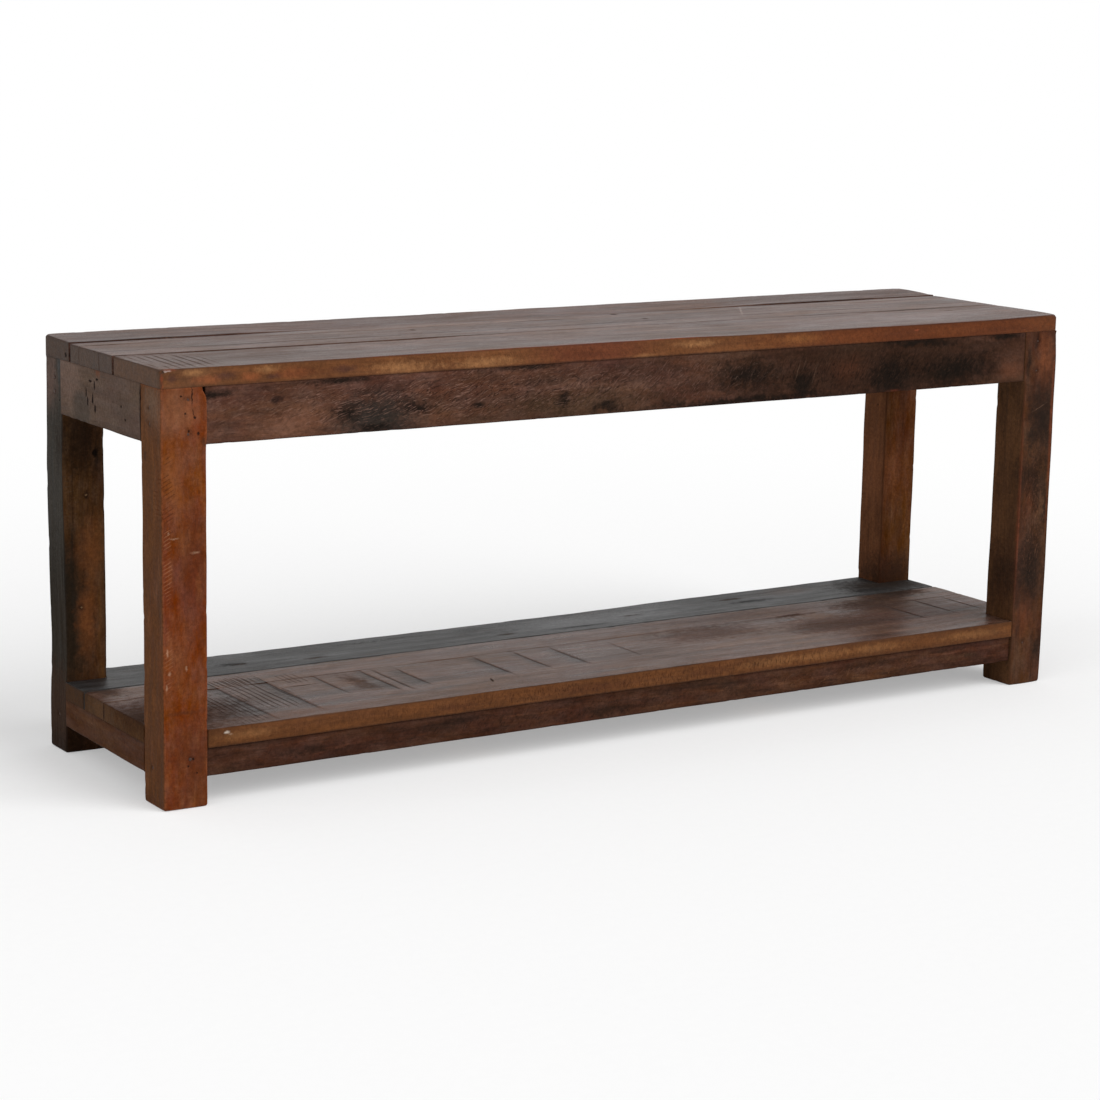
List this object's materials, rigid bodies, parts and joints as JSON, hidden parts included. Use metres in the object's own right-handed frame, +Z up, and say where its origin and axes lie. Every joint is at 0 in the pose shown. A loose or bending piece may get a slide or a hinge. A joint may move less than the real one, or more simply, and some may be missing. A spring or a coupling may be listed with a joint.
{
  "type": "wooden bench with shelf",
  "caption": "Low rectangular wooden bench with a plank seat, square legs, mortised aprons and a notched storage shelf close to the floor.",
  "frame": {"origin": "on the floor, under the middle of the bench", "axes": "+X along the bench towards its right end seen from the front, -Y towards the front, +Z up"},
  "size_m": [1.194, 0.304, 0.463],
  "materials": {
    "seat_boards": "grey-brown old boards with a satin wax",
    "shelf_boards": "grey-brown old boards with saw marks, satin wax",
    "slate_timber": "slate grey old timber, satin wax",
    "rust_timber": "rust orange old timber, satin wax",
    "dark_timber": "dark red-brown old timber with black stains, satin wax",
    "brown_timber": "brown old timber, satin wax",
    "plain_timber": "plain sawn timber, unwaxed",
    "iron_nails": "dark oxidised iron",
    "steel_screws": "zinc steel"
  },
  "bodies": {
    "root": {"front_left_leg": "rust_timber", "back_left_leg": "slate_timber", "front_right_leg": "dark_timber", "back_right_leg": "brown_timber", "front_apron": "dark_timber", "back_apron": "dark_timber", "left_apron": "brown_timber", "right_apron": "brown_timber", "front_rail": "dark_timber", "back_rail": "dark_timber", "left_rail": "brown_timber", "right_rail": "brown_timber", "back_plank": "seat_boards", "narrow_strip": "seat_boards", "middle_strip": "seat_boards", "inner_strip": "seat_boards", "front_plank": "seat_boards", "front_shelf_board": "shelf_boards", "middle_shelf_board": "shelf_boards", "back_shelf_board": "slate_timber", "left_batten": "plain_timber", "right_batten": "plain_timber", "left_cleat": "plain_timber", "right_cleat": "plain_timber", "left_bearer": "plain_timber", "right_bearer": "plain_timber", "apron_nails": "iron_nails", "rail_nails": "iron_nails", "seat_screws": "steel_screws", "cleat_screws": "steel_screws", "shelf_screws": "steel_screws"}
  },
  "joints": []
}
